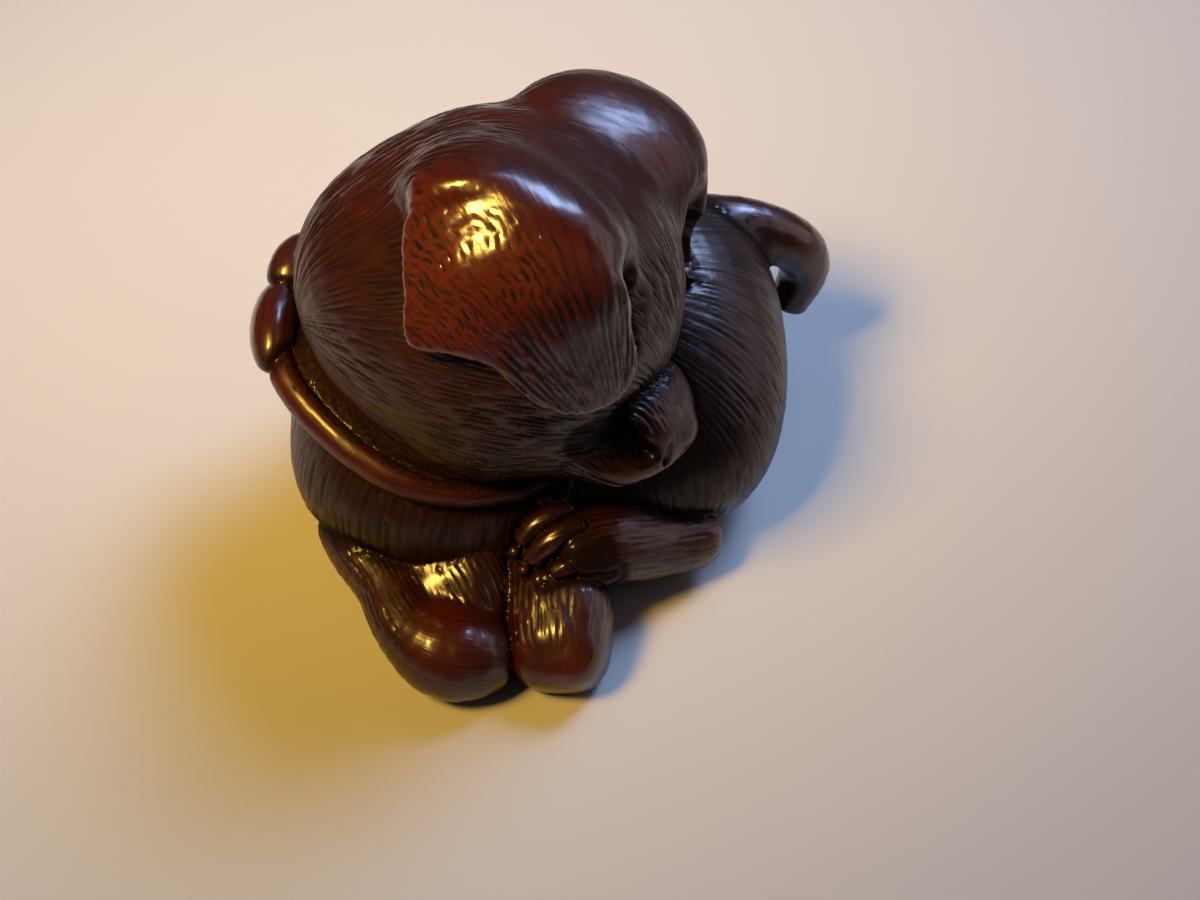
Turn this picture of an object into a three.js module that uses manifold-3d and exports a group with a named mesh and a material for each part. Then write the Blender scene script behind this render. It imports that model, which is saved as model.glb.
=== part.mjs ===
// A netsuke, the toggle carved from one block of wood that held a purse to a sash: a plump puppy lies curled
// round, its head turned back over its flank, with a tied cord for a collar.
// Millimetres, +Z up. The puppy lies on Z = 0 with its forelegs towards -Y and its rump and tail towards +X.
import * as THREE from 'three';
import { mergeVertices } from 'three/addons/utils/BufferGeometryUtils.js';
import Module from 'manifold-3d';

const wasm = await Module();
wasm.setup();

const UP = new THREE.Vector3(0, 0, 1);
const FAR_OUT = 30; // every form is nearer than this to its own middle
const STEP_IN = 0.4;
const HALVINGS = 14;
const SLIVER = 0.02; // joins leave splinters thinner than this

// ---- the forms, each an ellipsoid: its middle, its half sizes and its turn about X, Y and Z in degrees ----

const head = {
  at: new THREE.Vector3(-6.0, -3.4, 19.0),
  turned: { yaw: -35, nod: 32, tilt: 27 }, // the nose points to +X and down, and the right ear is uppermost
  skull: [
    { at: [0, 0, 0.1], size: [11.0, 11.0, 11.2] },
    { at: [-3.2, -0.8, -3.0], size: [8.3, 8.1, 7.4] }, // nape
    { at: [4.1, 3.8, -3.0], size: [4.6, 4.6, 4.7] }, // cheeks
    { at: [4.1, -3.8, -3.0], size: [4.6, 4.6, 4.7] },
    { at: [-1.9, 5.6, 8.8], size: [5.6, 3.8, 3.2], turn: [-31, -13, 0] }, // roots of the ears
    { at: [-1.9, -5.6, 8.8], size: [5.6, 3.8, 3.2], turn: [31, -13, 0] },
  ],
  skullSoftness: 2,
  muzzle: [
    { at: [8.6, 0, 0.2], size: [5.7, 4.6, 3.9], squareness: 3 },
    { at: [8.2, 0, -2.6], size: [5.5, 3.8, 2.6], squareness: 2.6 },
  ],
  muzzleSoftness: 1,
  nose: { at: [13.6, 0, 2.0], size: [1.0, 1.7, 1.1] },
  eye: { at: [9.7, 4.2, 2.3], size: [1.0, 1.0, 0.8] },
  mouth: { at: [11.4, 0, -1.1], size: [4.2, 6.0, 0.28] },
};

const ear = {
  middle: [0.154, 0.811, 0.565], // direction from the middle of the skull: forward, to its side, up
  length: [0.973, -0.026, -0.227], // direction of the tip
  // along the ear to its tip, and down across it, over the curve of the skull
  outline: [[7.2, -0.8], [6.3, 1.5], [4.2, 2.9], [1.6, 3.8], [0.2, 5.1], [-1.8, 7.2], [-4.2, 6.0], [-7.0, 4.6],
    [-8.6, 2.2], [-7.6, -1.4], [-4.8, -4.6], [-1.2, -6.0], [1.5, -5.2], [3.6, -3.6], [6.2, -2.6]],
  onRadius: 12,
  thick: 1.7,
  lift: 0.6, // of its edge, clear of the skull
  sunk: 0.8,
};

const body = {
  middle: new THREE.Vector3(-2.5, -1.0, 8.0),
  forms: [
    { at: [-11.0, -5.0, 6.9], size: [8.9, 9.2, 7.5] }, // shoulders and chest
    { at: [-4.5, 4.5, 9.0], size: [11.0, 8.2, 9.2] }, // back
    { at: [3.4, 3.6, 8.6], size: [8.7, 9.6, 8.8] }, // rump
    { at: [6.0, -2.6, 6.4], size: [5.7, 7.0, 6.6] }, // thigh
    { at: [-0.6, -5.4, 4.6], size: [6.5, 6.0, 4.6] }, // belly
    { at: [-11.6, -1.4, 12.6], size: [7.6, 7.8, 4.0] }, // neck
    { at: [-8.8, -11.2, 3.2], size: [4.8, 5.4, 3.6] }, // breast, between the forelegs
  ],
  softness: 4,
};

const limbs = {
  rightFore: {
    path: [[-16.4, -6.4, 4.4], [-13.3, -12.8, 3.8], [-10.1, -18.5, 3.3], [-8.0, -19.3, 3.2], [-4.6, -17.8, 2.8]],
    radius: [3.6, 3.5, 3.6, 3.5, 3.0],
    facing: UP,
  },
  leftFore: {
    path: [[-5.0, -8.6, 3.6], [-3.2, -14.0, 3.4], [-1.7, -20.8, 3.0]],
    radius: [3.4, 3.4, 3.2],
    facing: UP,
  },
  leftHindFoot: {
    path: [[7.4, -9.0, 2.4], [3.4, -10.8, 3.8], [-0.4, -13.0, 6.2], [-3.6, -14.8, 6.6]],
    radius: [2.4, 2.4, 2.7, 2.8],
    facing: UP,
  },
  tail: {
    path: [[4.6, 6.6, 13.4], [9.4, 7.0, 12.8], [12.6, 7.6, 10.8], [13.8, 8.8, 8.0], [12.4, 8.0, 4.6]],
    radius: [2.4, 2.2, 1.9, 1.8, 1.4],
    facing: new THREE.Vector3(0, -1, 0.2).normalize(),
  },
};

const toes = {
  paths: [
    [[-1.0, -11.2, 8.2], [-3.6, -12.2, 8.0], [-5.6, -13.4, 6.8]],
    [[-0.6, -12.4, 8.4], [-3.2, -13.8, 8.2], [-5.0, -15.2, 6.6]],
    [[0.0, -13.8, 7.6], [-2.4, -15.0, 7.4], [-4.2, -16.4, 6.2]],
    [[1.2, -14.2, 6.0], [-0.8, -15.6, 6.0], [-2.8, -16.8, 5.6]],
  ],
  radius: [0.9, 1.0, 0.9],
};

const collar = {
  path: [[-19.8, -4.7, 14.8], [-16.2, -10.0, 13.3], [-11.2, -12.6, 11.6], [-6.4, -12.2, 10.4], [-0.6, -9.8, 9.4],
    [4.6, -3.0, 10.0], [3.0, 4.6, 12.4], [-3.0, 8.8, 13.6], [-10.6, 8.6, 14.4], [-17.0, 3.6, 15.2]],
  radius: 0.9,
};

const bow = {
  loops: [
    { at: [-20.0, -2.6, 15.0], size: [1.7, 3.7, 2.0], turn: [0, 0, 0] },
    { at: [-19.2, 2.4, 16.0], size: [1.7, 2.8, 1.9], turn: [0, 0, -20] },
  ],
};

// ---- how the forms are made ----

const radians = THREE.MathUtils.degToRad;

/** A rough distance from an ellipsoid's surface, negative inside it. */
function ellipsoidField({ at, size, turn = [0, 0, 0], squareness = 2 }) {
  const middle = new THREE.Vector3(...at);
  const turnBack = new THREE.Quaternion().setFromEuler(new THREE.Euler(...turn.map(radians))).invert();
  return (p) => {
    const q = p.clone().sub(middle).applyQuaternion(turnBack).toArray().map((x, i) => Math.abs(x) / size[i]);
    const share = (q[0] ** squareness + q[1] ** squareness + q[2] ** squareness) ** (1 / squareness);
    if (share < 1e-6) return -Math.min(...size);
    const slope = Math.hypot(...q.map((x, i) => (x / share) ** (squareness - 1) / size[i]));
    return (share - 1) / slope;
  };
}

/** Several ellipsoids run together like clay. */
function clayField(forms, softness) {
  const fields = forms.map(ellipsoidField);
  return (p) => fields.map((field) => field(p)).reduce((a, b) => {
    const overlap = Math.max(softness - Math.abs(a - b), 0);
    return Math.min(a, b) - overlap * overlap / softness / 4;
  });
}

/** How far out along a direction the clay's skin lies. */
function reach(field, middle, direction) {
  const at = (r) => field(middle.clone().addScaledVector(direction, r));
  let outside = FAR_OUT;
  while (outside > STEP_IN && at(outside - STEP_IN) > 0) outside -= STEP_IN;
  let inside = outside - STEP_IN;
  for (let i = 0; i < HALVINGS; i += 1) {
    const half = (inside + outside) / 2;
    if (at(half) > 0) outside = half; else inside = half;
  }
  return (inside + outside) / 2;
}

/** Moves every vertex of a geometry to where place(vertex) says. */
function remap(geometry, place) {
  const position = geometry.getAttribute('position');
  const v = new THREE.Vector3();
  for (let i = 0; i < position.count; i += 1) {
    const moved = place(v.fromBufferAttribute(position, i));
    position.setXYZ(i, moved.x, moved.y, moved.z);
  }
  return geometry;
}

/** A sphere drawn tight over the clay. */
function wrap(field, middle, around, along) {
  return remap(new THREE.SphereGeometry(1, around, along), (v) => {
    const direction = v.clone().normalize();
    return middle.clone().addScaledVector(direction, reach(field, middle, direction));
  });
}

/** A plain ellipsoid. */
function ball({ at, size, turn = [0, 0, 0] }, around, along) {
  return new THREE.SphereGeometry(1, around, along)
    .scale(...size)
    .applyQuaternion(new THREE.Quaternion().setFromEuler(new THREE.Euler(...turn.map(radians))))
    .translate(...at);
}

/** A round-ended limb along a path, thick as the radii say. */
function limb({ path, radius, facing }, around, along) {
  const curve = new THREE.CatmullRomCurve3(path.map((p) => new THREE.Vector3(...p)));
  const girth = new THREE.SplineCurve(radius.map((r, i) => new THREE.Vector2(i / (radius.length - 1), r)));
  const bluntness = 0.45;
  return remap(new THREE.SphereGeometry(1, around, along), (v) => {
    const polar = Math.acos(THREE.MathUtils.clamp(v.y, -1, 1));
    const t = (1 - v.y) / 2;
    const tangent = curve.getTangentAt(t);
    const side = new THREE.Vector3().crossVectors(facing, tangent).normalize();
    const top = new THREE.Vector3().crossVectors(tangent, side);
    const thick = girth.getPoint(t).y * Math.sin(polar) ** bluntness;
    const turn = Math.atan2(v.z, v.x);
    return curve.getPointAt(t)
      .addScaledVector(side, thick * Math.cos(turn))
      .addScaledVector(top, thick * Math.sin(turn));
  });
}

/** A closed ring of cord. */
function ring({ path, radius }, around, along) {
  const curve = new THREE.CatmullRomCurve3(path.map((p) => new THREE.Vector3(...p)), true);
  const middle = curve.getPoints(along).reduce((a, b) => a.add(b), new THREE.Vector3()).divideScalar(along + 1);
  return remap(new THREE.TorusGeometry(2, 1, around, along), (v) => {
    const t = (Math.atan2(v.y, v.x) / (2 * Math.PI) + 1) % 1;
    const centre = curve.getPointAt(t);
    const outward = centre.clone().sub(middle).projectOnPlane(curve.getTangentAt(t)).normalize();
    const across = new THREE.Vector3().crossVectors(outward, curve.getTangentAt(t));
    return centre
      .addScaledVector(outward, (Math.hypot(v.x, v.y) - 2) * radius)
      .addScaledVector(across, v.z * radius);
  });
}

/** One ear: a flap bent over the skull, full at the fold and thin at its edge. side is 1 for the left one. */
function earFlap(field, side, around, along) {
  const toHead = ([f, s, u]) => new THREE.Vector3(f, side * s, u).normalize();
  const middle = toHead(ear.middle);
  const length = toHead(ear.length).projectOnPlane(middle).normalize();
  const across = new THREE.Vector3().crossVectors(length, middle).multiplyScalar(-side);
  const outline = new THREE.CatmullRomCurve3(ear.outline.map(([a, b]) => new THREE.Vector3(a, b, 0)), true);
  const rim = outline.getSpacedPoints(around * 8);
  const origin = new THREE.Vector3();
  const edge = (angle) => rim.reduce((best, p) => {
    const off = Math.abs(Math.atan2(Math.sin(Math.atan2(p.y, p.x) - angle), Math.cos(Math.atan2(p.y, p.x) - angle)));
    return off < best.off ? { off, far: Math.hypot(p.x, p.y) } : best;
  }, { off: 9, far: 0 }).far;
  const edges = new Map();
  return remap(new THREE.SphereGeometry(1, around, along), (v) => {
    const angle = -side * Math.atan2(v.z, v.x);
    const key = angle.toFixed(3);
    if (!edges.has(key)) edges.set(key, edge(angle));
    const share = Math.hypot(v.x, v.z) ** 0.7;
    const a = Math.cos(angle) * edges.get(key) * share;
    const b = Math.sin(angle) * edges.get(key) * share;
    const far = Math.hypot(a, b) / ear.onRadius;
    const bearing = length.clone().multiplyScalar(Math.cos(angle)).addScaledVector(across, Math.sin(angle));
    const direction = middle.clone().multiplyScalar(Math.cos(far)).addScaledVector(bearing, Math.sin(far));
    const level = Math.sign(v.y) * Math.abs(v.y) ** 0.5;
    const height = ear.lift + level * (level > 0 ? ear.thick - ear.lift : ear.sunk + ear.lift);
    return direction.clone().multiplyScalar(reach(field, origin, direction) + height);
  });
}

// ---- joining ----

function toSolid(geometry) {
  const bare = geometry.clone();
  bare.deleteAttribute('normal');
  bare.deleteAttribute('uv');
  const merged = mergeVertices(bare, 1e-4);
  return new wasm.Manifold(new wasm.Mesh({
    numProp: 3,
    vertProperties: Float32Array.from(merged.getAttribute('position').array),
    triVerts: Uint32Array.from(merged.getIndex().array),
  }));
}

function toGeometry(solid) {
  const mesh = solid.getMesh();
  const geometry = new THREE.BufferGeometry();
  geometry.setAttribute('position', new THREE.BufferAttribute(mesh.vertProperties, 3));
  geometry.setIndex(new THREE.BufferAttribute(mesh.triVerts, 1));
  geometry.computeVertexNormals();
  return geometry;
}

function makeHead() {
  const skullField = clayField(head.skull, head.skullSoftness);
  const muzzleField = clayField(head.muzzle, head.muzzleSoftness);
  const origin = new THREE.Vector3();
  const parts = [
    wrap(skullField, origin, 40, 26),
    wrap(muzzleField, new THREE.Vector3(9, 0, -0.8), 24, 16),
    ball(head.nose, 12, 8),
    ball(head.eye, 10, 6),
    ball({ ...head.eye, at: [head.eye.at[0], -head.eye.at[1], head.eye.at[2]] }, 10, 6),
    earFlap(skullField, 1, 30, 14),
    earFlap(skullField, -1, 30, 14),
  ];
  const { yaw, nod, tilt } = head.turned;
  const pose = new THREE.Matrix4()
    .makeRotationFromEuler(new THREE.Euler(radians(-tilt), radians(nod), radians(yaw), 'ZYX'))
    .setPosition(head.at);
  const whole = parts.map((part) => toSolid(part.applyMatrix4(pose))).reduce((all, one) => all.add(one));
  return whole.subtract(toSolid(ball(head.mouth, 20, 6).applyMatrix4(pose)));
}

function makePuppy() {
  const bodyField = clayField(body.forms, body.softness);
  const solids = [
    wrap(bodyField, body.middle, 44, 28),
    ...Object.values(limbs).map((one) => limb(one, 14, 16)),
    ...toes.paths.map((path) => limb({ path, radius: toes.radius, facing: UP }, 8, 8)),
    ring(collar, 8, 56),
    ...bow.loops.map((loop) => ball(loop, 14, 10)),
  ].map(toSolid);
  const carved = solids.reduce((all, one) => all.add(one), makeHead());
  const under = new THREE.BoxGeometry(100, 100, 20).translate(0, 0, -10);
  const skins = carved.subtract(toSolid(under)).decompose(); // the outer one, and any hollow sealed inside
  const outer = skins.reduce((a, b) => (a.volume() > b.volume() ? a : b));
  const geometry = toGeometry(outer.simplify(SLIVER));
  const middle = new THREE.Box3().setFromBufferAttribute(geometry.getAttribute('position')).getCenter(UP.clone());
  return geometry.translate(-middle.x, -middle.y, 0);
}

const wood = new THREE.MeshStandardMaterial({ color: 0x3a1c10, roughness: 0.3, metalness: 0 });
const puppy = new THREE.Mesh(makePuppy(), wood);
puppy.name = 'puppy';

const netsuke = new THREE.Group();
netsuke.add(puppy);

export default netsuke;
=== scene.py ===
import math
import time
import bmesh
import bpy
import numpy as np
from mathutils import Euler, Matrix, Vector


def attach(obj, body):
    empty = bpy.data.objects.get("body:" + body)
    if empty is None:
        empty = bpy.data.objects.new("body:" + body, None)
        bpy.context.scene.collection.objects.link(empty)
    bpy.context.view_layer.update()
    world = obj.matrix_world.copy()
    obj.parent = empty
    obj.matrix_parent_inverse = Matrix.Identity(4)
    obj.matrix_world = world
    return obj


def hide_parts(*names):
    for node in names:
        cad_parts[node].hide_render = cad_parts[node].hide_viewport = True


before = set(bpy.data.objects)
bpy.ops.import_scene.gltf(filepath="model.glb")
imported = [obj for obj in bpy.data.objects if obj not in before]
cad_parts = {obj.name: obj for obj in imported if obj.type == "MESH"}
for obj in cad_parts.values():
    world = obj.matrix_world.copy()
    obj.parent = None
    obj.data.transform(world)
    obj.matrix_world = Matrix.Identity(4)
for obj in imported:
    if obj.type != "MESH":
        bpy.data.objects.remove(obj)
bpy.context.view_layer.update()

# The puppy is worked in millimetres, as a field: for any point it says how far that lies outside the wood.
# Simple forms are joined, cut and creased into one another there. A copy of the CAD solid is drawn onto it
# at a finer and finer width, and the coat of hair is then cut into it.
mm = 0.001
far = 9.0  # stands for the distance to a form that is too far away to matter
tiny = 1e-4  # keeps a division from going wrong


def clamp(x, low=0.0, high=1.0):
    return np.minimum(np.maximum(x, low), high)


def rise(low, high, x):  # smoothly from 0 at low to 1 at high
    t = clamp((x - low) / (high - low))
    return t * t * (3 - 2 * t)


def size3(v):
    return np.sqrt((v * v).sum(axis=1))


def unit(v):
    v = np.asarray(v, dtype=float)
    return v / np.linalg.norm(v)


def turned(order, *degrees):
    return np.array(Euler([math.radians(d) for d in degrees], order).to_matrix())


def join(a, b, softness):  # two forms as one, with a fillet
    overlap = np.maximum(softness - np.abs(a - b), 0)
    return np.minimum(a, b) - overlap * overlap / softness / 4


def cut(a, b, softness):  # what a and b have in common
    return -join(-a, -b, softness)


def creased(a, b, depth, width, softness):  # joined, with a carved line where they meet
    line = clamp(1 - np.abs(a - b) / width)
    return join(a, b, softness) + depth * line * line


noiseWaves = [  # which way each wave runs, and where it starts
    (1.0, 0.37, -0.61, 0.4),
    (-0.43, 1.13, 0.52, 1.7),
    (0.71, -0.48, 1.21, 3.1),
    (-1.37, -0.92, 0.63, 5.2),
]


def noise3(p, scale, seed=0):  # smooth, from -1 to 1
    total = 0
    for i, (x, y, z, start) in enumerate(noiseWaves):
        along = (p[:, 0] * x + p[:, 1] * y + p[:, 2] * z) * 6.28 / scale
        total = total + np.sin(along + start + seed * (i + 1.3))
    return total / len(noiseWaves)


def dice(a, b=0, seed=0):  # from 0 to 1, and always the same for the same numbers
    x = np.sin(a * 12.9898 + b * 78.233 + seed * 37.719) * 43758.5453
    return x - np.floor(x)


def ellipsoid(p, at, size, turn=(0, 0, 0), squareness=2):
    q = np.abs((p - np.array(at)) @ turned("ZYX", *turn)) / np.array(size)
    share = np.maximum((q ** squareness).sum(axis=1) ** (1 / squareness), tiny)
    slope = size3((q / share[:, None]) ** (squareness - 1) / np.array(size))
    return (share - 1) / slope


def clay(p, forms, softness):
    whole = None
    for form in forms:
        one = ellipsoid(p, **form)
        whole = one if whole is None else join(whole, one, softness)
    return whole


curve = {
    "fineness": 24,  # points worked out between two given ones
    "roundEnd": 0.75,  # length of a tube's rounded end, against its radius there
    "reach": 2.5,  # how far outside a tube its distance is still worked out
}


def splineThrough(points, count, closed=False):  # evenly spaced points on a smooth curve
    points = np.array(points, dtype=float)
    if closed:
        ring = np.vstack([points[-1], points, points[0], points[1]])
    else:
        ring = np.vstack([2 * points[0] - points[1], points, 2 * points[-1] - points[-2]])
    dense = []
    for p0, p1, p2, p3 in zip(ring, ring[1:], ring[2:], ring[3:]):
        d0, d1, d2 = (np.linalg.norm(b - a) ** 0.5 for a, b in ((p0, p1), (p1, p2), (p2, p3)))
        t1 = d1 * ((p1 - p0) / d0 - (p2 - p0) / (d0 + d1) + (p2 - p1) / d1)
        t2 = d1 * ((p2 - p1) / d1 - (p3 - p1) / (d1 + d2) + (p3 - p2) / d2)
        for t in np.arange(curve["fineness"]) / curve["fineness"]:
            dense.append((2 * t ** 3 - 3 * t ** 2 + 1) * p1 + (t ** 3 - 2 * t ** 2 + t) * t1
                         + (3 * t ** 2 - 2 * t ** 3) * p2 + (t ** 3 - t ** 2) * t2)
    dense.append(points[0] if closed else points[-1])
    dense = np.array(dense)
    reach = np.concatenate([[0], np.cumsum(np.linalg.norm(np.diff(dense, axis=0), axis=1))])
    even = np.linspace(0, reach[-1], count)
    return np.array([np.interp(even, reach, dense[:, k]) for k in range(dense.shape[1])]).T


def laidOut(form, count=22):  # the curve and the girth of a tube, ready to measure from
    form["nodes"] = splineThrough(form["path"], count, form.get("closed", False))
    radius = form["radius"]
    if isinstance(radius, (int, float)):
        radius = [radius, radius]
    smooth = np.array([np.linspace(0, 1, len(radius)), radius]).T
    if len(radius) > 2:
        smooth = splineThrough(smooth, 40)
    form["girth"] = np.interp(np.linspace(0, 1, count), smooth[:, 0], smooth[:, 1])
    return form


def tube(p, form):  # distance, how far along, and the angle round it
    nodes, girth = form["nodes"], form["girth"]
    closed = form.get("closed", False)
    out = np.full(len(p), far)
    along = np.zeros(len(p))
    turn = np.zeros(len(p))
    margin = girth.max() + curve["reach"]
    near = np.all((p > nodes.min(axis=0) - margin) & (p < nodes.max(axis=0) + margin), axis=1)
    q = p[near]
    if not len(q):
        return out, along, turn
    steps = np.linalg.norm(np.diff(nodes, axis=0), axis=1)
    starts = np.concatenate([[0], np.cumsum(steps)])
    trim = (0, 0) if closed else (girth[0] * curve["roundEnd"], girth[-1] * curve["roundEnd"])
    low, high = trim[0], starts[-1] - trim[1]
    best = np.full(len(q), np.inf)
    where = np.zeros(len(q))
    for i, step in enumerate(steps):  # the nearest of the straight steps
        if low > starts[i + 1] or high < starts[i]:
            continue
        direction = (nodes[i + 1] - nodes[i]) / step
        v = q - nodes[i]
        h = clamp(v @ direction, max(low - starts[i], 0), min(max(high - starts[i], 0), step))
        v = v - h[:, None] * direction
        d = size3(v) - np.interp(starts[i] + h, starts, girth)
        closer = d < best
        best[closer] = d[closer]
        where[closer] = (starts[i] + h)[closer]
    centre = np.array([np.interp(where, starts, nodes[:, k]) for k in range(3)]).T
    tangents = np.gradient(nodes, axis=0)
    tangents /= np.linalg.norm(tangents, axis=1)[:, None]
    tangent = np.array([np.interp(where, starts, tangents[:, k]) for k in range(3)]).T
    v = q - centre
    if not closed:
        for end, sign, length in ((low, -1, trim[0]), (high, 1, trim[1])):
            past = np.abs(where - end) < 1e-3
            over = np.maximum((v[past] * tangent[past]).sum(axis=1) * sign, 0)
            beside = np.sqrt(np.maximum((v[past] ** 2).sum(axis=1) - over ** 2, 0))
            r = np.interp(end, starts, girth)
            best[past] = r * (((beside / r) ** 3 + (over / length) ** 3) ** (1 / 3) - 1)
            where[past] += over * sign
    side = np.cross(np.array(form.get("facing", (0, 0, 1))), tangent)
    side /= np.maximum(size3(side), tiny)[:, None]
    top = np.cross(tangent, side)
    out[near] = best
    along[near] = where
    turn[near] = np.arctan2((v * top).sum(axis=1), (v * side).sum(axis=1))
    return out, along, turn


shift = np.array([3.155, 4.492, 0.0])  # the solid stands centred on its box

head = {
    "at": (-6.0, -3.4, 19.0),
    "turn": (-27, 32, -35),  # the tilt, the nod and the turn, in degrees
    "reach": 19,  # how far from its middle the head is still worked out
    "close": 17,  # how far from it the surface is taken to be the head's
    "skull": [
        {"at": (0, 0, 0.1), "size": (11.0, 11.0, 11.2)},
        {"at": (-3.2, -0.8, -3.0), "size": (8.3, 8.1, 7.4)},
        {"at": (4.1, 3.8, -3.0), "size": (4.6, 4.6, 4.7)},
        {"at": (4.1, -3.8, -3.0), "size": (4.6, 4.6, 4.7)},
        {"at": (-1.9, 5.6, 8.8), "size": (5.6, 3.8, 3.2), "turn": (-31, -13, 0)},
    ],
    "mound": {"at": (-2.2, -6.6, 6.9), "size": (5.4, 3.6, 2.7), "turn": (40, -13, 0)},
    "muzzle": [
        {"at": (8.6, 0, 0.2), "size": (5.7, 4.5, 3.9), "squareness": 3},
        {"at": (7.9, 0, -2.3), "size": (5.1, 3.6, 2.3), "squareness": 2.6},
    ],
    "nose": {"at": (13.5, 0, 2.1), "size": (1.1, 1.6, 1.1)},
    "nostril": {"at": (14.5, 0.75, 2.1), "size": (0.5, 0.35, 0.3)},
    "hollows": [  # beside the muzzle, where the eye lies
        {"at": (10.7, 5.0, 0.7), "size": (2.3, 2.5, 1.75), "turn": (0, -12, 0)},
        {"at": (12.4, 4.2, 1.15), "size": (1.7, 1.5, 0.9), "turn": (0, -20, -25)},
    ],
    "eye": {"at": (10.8, 2.5, 0.9), "size": (0.6, 0.4, 0.4)},
    "lip": {"path": [(14.0, 0.4, 1.2), (13.8, 1.9, 0.9), (13.2, 2.8, -0.2), (12.5, 3.4, -0.95),
                     (11.4, 3.8, -1.35), (10.2, 4.2, -1.7), (8.2, 4.7, -2.3)],
            "radius": [0.6, 0.65, 0.68, 0.7, 0.75, 0.8, 1.0]},
    "notch": {"path": [(13.4, 2.5, 2.5), (13.9, 2.4, 1.7), (14.1, 2.2, 0.7)],
              "radius": [0.14, 0.18, 0.14]},
    "mouth": {"at": (11.4, 0, -1.75), "size": (4.2, 6.0, 0.16)},
    "underFarEar": {"at": (6.2, 6.8, 8.3), "size": (2.5, 1.5, 2.3), "turn": (0, 30, 25)},
    "softness": {"skull": 2, "mound": 3.5, "muzzle": 1, "nose": 0.8, "hollows": 0.5, "lip": 0.7, "notch": 0.3,
                 "nostril": 0.2, "mouth": 0.2, "underFarEar": 0.3},
    "brow": {"depth": 0.5, "width": 0.9, "softness": 0.2},  # the carved line between brow and muzzle
    "cheek": 2.2,  # how much softer it is below, where the cheek runs on into the lip
    "lid": (0.15, 0.4, 0.1),  # the line round the eye: depth, width and softness
}
for name in ("lip", "notch"):
    laidOut(head[name], 14)
headTurn = turned("XYZ", *head["turn"])
headAt = np.array(head["at"])


def inHead(f):  # measured from the middle of the head, with the muzzle along x
    return (f - headAt) @ headTurn


def folded(q):  # both sides of the face at once
    return np.where((q[:, 1] < 0)[:, None], q * np.array([1, -1, 1]), q)


ear = {
    "middle": (0.154, 0.811, 0.565),  # which way the middle of the ear faces
    "length": (0.973, -0.026, -0.227),  # which way it hangs
    "outline": [(7.7, -0.9), (6.7, 1.8), (4.4, 3.3), (1.6, 4.0), (0.2, 5.1), (-1.8, 7.2), (-4.2, 6.0),
                (-7.0, 4.6), (-8.6, 2.2), (-7.6, -1.4), (-4.6, -3.9), (-1.4, -5.2), (1.4, -4.8), (3.6, -3.7),
                (6.6, -2.9)],
    "onRadius": 12,
    "outer": 1.1,  # the radius at which the edge lies, against onRadius
    "shorter": {1: 0.3, -1: 0.0},  # the left ear is drawn in towards its tip
    "tipFrom": 3.0,
    "rootAt": (-9, 0.5),  # a point on the line on which the ear is rooted, and which way it faces
    "rootFacing": (-0.447, -0.894),
    "thick": 1.7,
    "crest": {1: 0.7, -1: 0.1},  # more height along the root
    "crestWidth": 2.6,
    "lean": 1.0,  # how far the edge is cut in under
    "hollow": 2.0,  # depth under the front edge
    "hollowWidth": 1.7,
    "thinner": 0.45,  # how much of its thickness the back of the ear has lost
    "edge": 0.2,  # the fillet where it lies on the head, and how much is added to it at the root
    "blend": 4.2,
}
earSides = {"leftEar": 1, "rightEar": -1}


def outlineTable(outline, step=0.1, margin=3.5):  # distance from an outline in the flat, at even steps
    line = splineThrough(outline, 161, closed=True)
    low = line.min(axis=0) - margin
    cells = np.ceil((line.max(axis=0) + margin - low) / step).astype(int) + 1
    a, b = np.meshgrid(low[0] + np.arange(cells[0]) * step, low[1] + np.arange(cells[1]) * step, indexing="ij")
    points = np.stack([a.ravel(), b.ravel()], axis=1)
    best = np.full(len(points), np.inf)
    inside = np.zeros(len(points), dtype=bool)
    for p, q in zip(line, line[1:]):
        d = q - p
        h = clamp(((points - p) @ d) / (d @ d))
        v = points - p - h[:, None] * d
        best = np.minimum(best, (v * v).sum(axis=1))
        crosses = (p[1] > points[:, 1]) != (q[1] > points[:, 1])
        if abs(d[1]) > 1e-9:
            at = p[0] + (points[:, 1] - p[1]) * d[0] / d[1]
            inside ^= crosses & (points[:, 0] < at)
    signed = np.where(inside, -1, 1) * np.sqrt(best)
    return low, step, signed.reshape(cells)


def lookUp(table, a, b):
    low, step, values = table
    x = clamp((a - low[0]) / step, 0, values.shape[0] - 1.001)
    y = clamp((b - low[1]) / step, 0, values.shape[1] - 1.001)
    i, j = x.astype(int), y.astype(int)
    u, v = x - i, y - j
    return ((values[i, j] * (1 - u) + values[i + 1, j] * u) * (1 - v)
            + (values[i, j + 1] * (1 - u) + values[i + 1, j + 1] * u) * v)


earTable = outlineTable(ear["outline"])


def onEar(q, side):  # along the ear to its tip, and down across it
    flip = np.array([1, side, 1])
    middle = unit(np.array(ear["middle"]) * flip)
    length = np.array(ear["length"]) * flip
    length = unit(length - middle * (length @ middle))
    across = np.cross(length, middle) * -side
    direction = q / np.maximum(size3(q), tiny)[:, None]
    away = np.arccos(clamp(direction @ middle, -1, 1)) * ear["onRadius"]
    x, y = direction @ length, direction @ across
    flat = np.maximum(np.sqrt(x * x + y * y), 1e-6)
    return away * x / flat, away * y / flat


def pastRoot(a, b):
    at, facing = ear["rootAt"], ear["rootFacing"]
    return facing[0] * (a - at[0]) + facing[1] * (b - at[1])


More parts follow.
